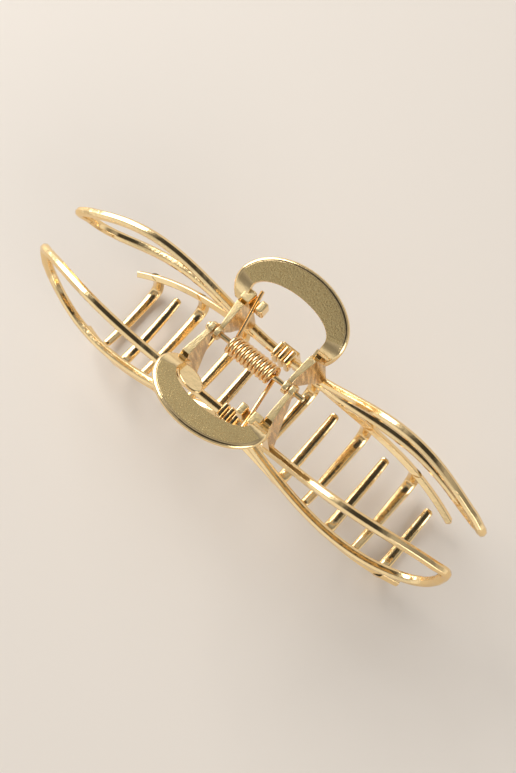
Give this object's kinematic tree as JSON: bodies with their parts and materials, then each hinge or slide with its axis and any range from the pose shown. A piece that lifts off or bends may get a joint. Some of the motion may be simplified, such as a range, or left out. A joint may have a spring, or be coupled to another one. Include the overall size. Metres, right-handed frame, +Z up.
{
  "type": "hair claw clip",
  "caption": "Gold-plated cast metal hair claw with open almond loops, curved interlocking teeth, finger rings and a spring hinge.",
  "frame": {"origin": "centre of the bounding box's bottom face, at the level of the lowest tooth tips the clip stands on", "axes": "+X along the hinge pin from its rivet head to its plain end, +Y towards the back jaw, +Z up from the teeth to the finger rings"},
  "size_m": [0.111, 0.0402, 0.0518],
  "materials": {
    "gold_casting": "polished gold plating, finely satin on the finger rings",
    "rivet_gold": "polished gold plating",
    "spring_gold": "bright gold-plated drawn wire"
  },
  "bodies": {
    "front_jaw": {"front_finger_ring": "gold_casting", "front_binder": "gold_casting", "front_spring_lug": "gold_casting", "front_left_upper_bar": "gold_casting", "front_left_lower_bar": "gold_casting", "front_left_comb_rail": "gold_casting", "front_left_web": "gold_casting", "front_left_arm": "gold_casting", "front_right_upper_bar": "gold_casting", "front_right_lower_bar": "gold_casting", "front_right_comb_rail": "gold_casting", "front_right_web": "gold_casting", "front_right_arm": "gold_casting", "front_left_tooth_1": "gold_casting", "front_left_tooth_2": "gold_casting", "front_left_tooth_3": "gold_casting", "front_right_tooth_1": "gold_casting", "front_right_tooth_2": "gold_casting", "front_right_tooth_3": "gold_casting", "front_thumb_tab": "gold_casting", "hinge_pin": "rivet_gold", "torsion_spring": "spring_gold"},
    "back_jaw": {"back_finger_ring": "gold_casting", "back_binder": "gold_casting", "back_spring_lug": "gold_casting", "back_left_upper_bar": "gold_casting", "back_left_lower_bar": "gold_casting", "back_left_comb_rail": "gold_casting", "back_left_web": "gold_casting", "back_left_arm": "gold_casting", "back_right_upper_bar": "gold_casting", "back_right_lower_bar": "gold_casting", "back_right_comb_rail": "gold_casting", "back_right_web": "gold_casting", "back_right_arm": "gold_casting", "back_left_tooth_1": "gold_casting", "back_left_tooth_2": "gold_casting", "back_left_tooth_3": "gold_casting", "back_right_tooth_1": "gold_casting", "back_right_tooth_2": "gold_casting", "back_right_tooth_3": "gold_casting"}
  },
  "joints": [
    {"name": "jaw_hinge", "type": "hinge", "parent": "front_jaw", "child": "back_jaw", "pos_m": [0, 0, 0.04483], "axis": [1, 0, 0], "range_deg": [0, 65], "stiffness_Nm_per_rad": 0.08, "springref_deg": -34.38, "deforming": ["torsion_spring"]}
  ]
}
